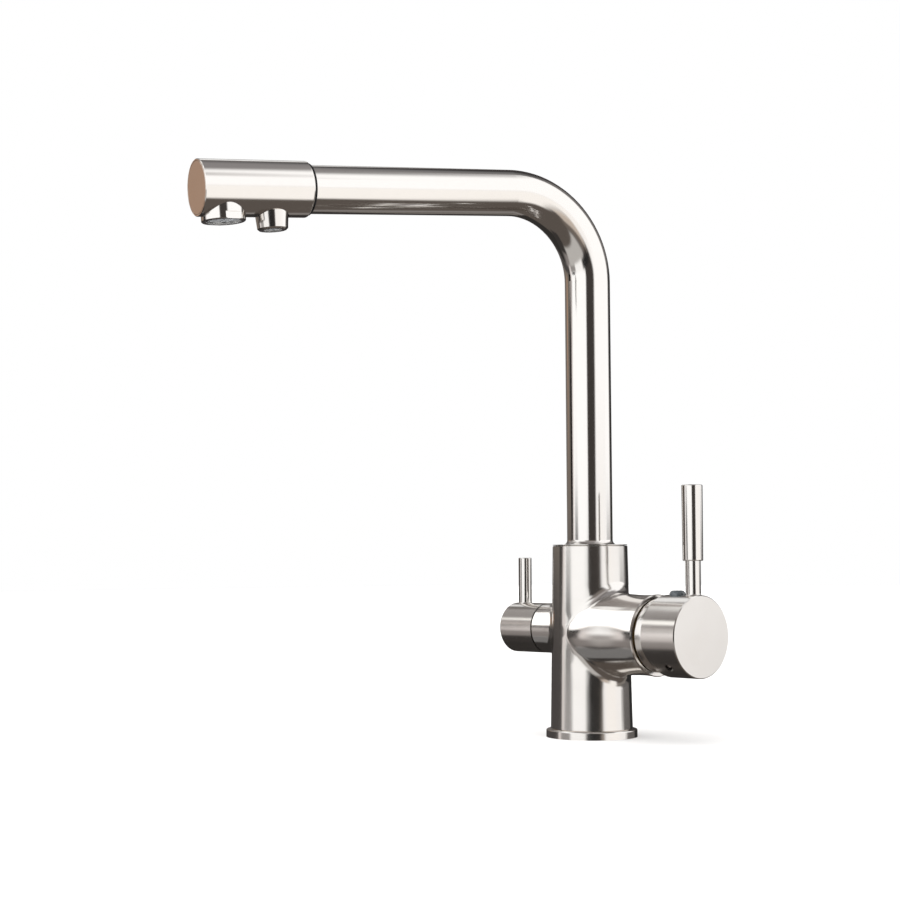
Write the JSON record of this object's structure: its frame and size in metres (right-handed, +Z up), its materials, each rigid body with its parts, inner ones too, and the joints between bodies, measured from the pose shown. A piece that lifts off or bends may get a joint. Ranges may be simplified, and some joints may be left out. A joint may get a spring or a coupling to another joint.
{
  "type": "drinking water filter tap",
  "caption": "Kitchen tap with a swivelling angled spout, a joystick mixer handle for hot and cold water on one side and a quarter-turn handle for filtered drinking water on the other.",
  "frame": {"origin": "middle of the face that stands on the worktop", "axes": "+Z up, +X along the axis of the mixer handle, -X along the axis of the filter handle; the spout rests towards -Y, turned 14.4 degrees towards -X"},
  "size_m": [0.1562, 0.2577, 0.3205],
  "materials": {
    "satin_nickel": "satin nickel plating, finely brushed",
    "polished_nickel": "polished nickel plating",
    "machined_brass": "machined brass",
    "black_rubber": "smooth nitrile rubber",
    "white_plastic": "moulded acetal",
    "white_ceramic": "lapped ceramic",
    "grey_plastic": "smooth domed plastic",
    "clear_pipe": "drawn polyethylene pipe",
    "spring_steel": "bright stainless steel"
  },
  "bodies": {
    "root": {"body": "satin_nickel", "base_ring": "satin_nickel", "base_gasket": "black_rubber", "inlet_block": "machined_brass", "filter_riser": "machined_brass", "riser_o_ring": "black_rubber", "slip_washer": "white_plastic", "retaining_ring": "spring_steel", "cartridge_housing": "white_plastic", "cartridge_base": "white_plastic", "cartridge_seals": "black_rubber", "mixer_fixed_disc": "white_ceramic", "cartridge_nut": "machined_brass", "mixer_bonnet": "polished_nickel", "filter_valve_housing": "machined_brass", "filter_fixed_disc": "white_ceramic", "filter_valve_seal": "black_rubber"},
    "spout": {"spout_tube": "polished_nickel", "swivel_collar": "polished_nickel", "spout_spigot": "machined_brass", "spigot_o_rings": "black_rubber", "filter_pipe": "clear_pipe", "pipe_socket": "machined_brass", "pipe_o_ring": "black_rubber", "outlet_head": "polished_nickel", "tip_cap": "polished_nickel", "aerator_washer": "black_rubber", "aerator_housing": "polished_nickel", "aerator_insert": "white_plastic", "filter_nozzle": "polished_nickel", "nozzle_seal": "black_rubber", "nozzle_insert": "white_plastic"},
    "mixer_carrier": {"mixer_carrier": "white_plastic", "pivot_pin": "spring_steel"},
    "mixer_lever": {"mixer_spindle": "machined_brass", "mixer_hub": "satin_nickel", "lever_stem": "polished_nickel", "lever_grip": "polished_nickel", "index_button": "grey_plastic", "hub_screw": "spring_steel"},
    "mixer_disc": {"mixer_moving_disc": "white_ceramic", "slide_plate": "white_plastic"},
    "filter_lever": {"filter_knob": "satin_nickel", "filter_lever": "polished_nickel", "knob_screw": "spring_steel", "filter_spindle": "machined_brass", "filter_moving_disc": "white_ceramic", "spindle_circlip": "spring_steel", "spindle_o_ring": "black_rubber"}
  },
  "joints": [
    {"name": "spout_swivel", "type": "hinge", "parent": "root", "child": "spout", "pos_m": [0, 0, 0.108], "axis": [0, 0, 1], "continuous": true},
    {"name": "mixer_turn", "type": "hinge", "parent": "root", "child": "mixer_carrier", "pos_m": [0.051, 0, 0.0582], "axis": [1, 0, 0], "range_deg": [-50, 50]},
    {"name": "mixer_tilt", "type": "hinge", "parent": "mixer_carrier", "child": "mixer_lever", "pos_m": [0.051, 0, 0.0582], "axis": [0, 1, 0], "range_deg": [0, 25]},
    {"name": "mixer_disc_slide", "type": "slide", "parent": "mixer_carrier", "child": "mixer_disc", "axis": [0, 0, 1], "range_m": [0, 0.0039]},
    {"name": "filter_turn", "type": "hinge", "parent": "root", "child": "filter_lever", "pos_m": [-0.045, 0, 0.0605], "axis": [1, 0, 0], "range_deg": [0, 90]}
  ],
  "couplings": [
    {"joint": "mixer_disc_slide", "follows": "mixer_tilt", "m_per_rad": 0.008716}
  ]
}
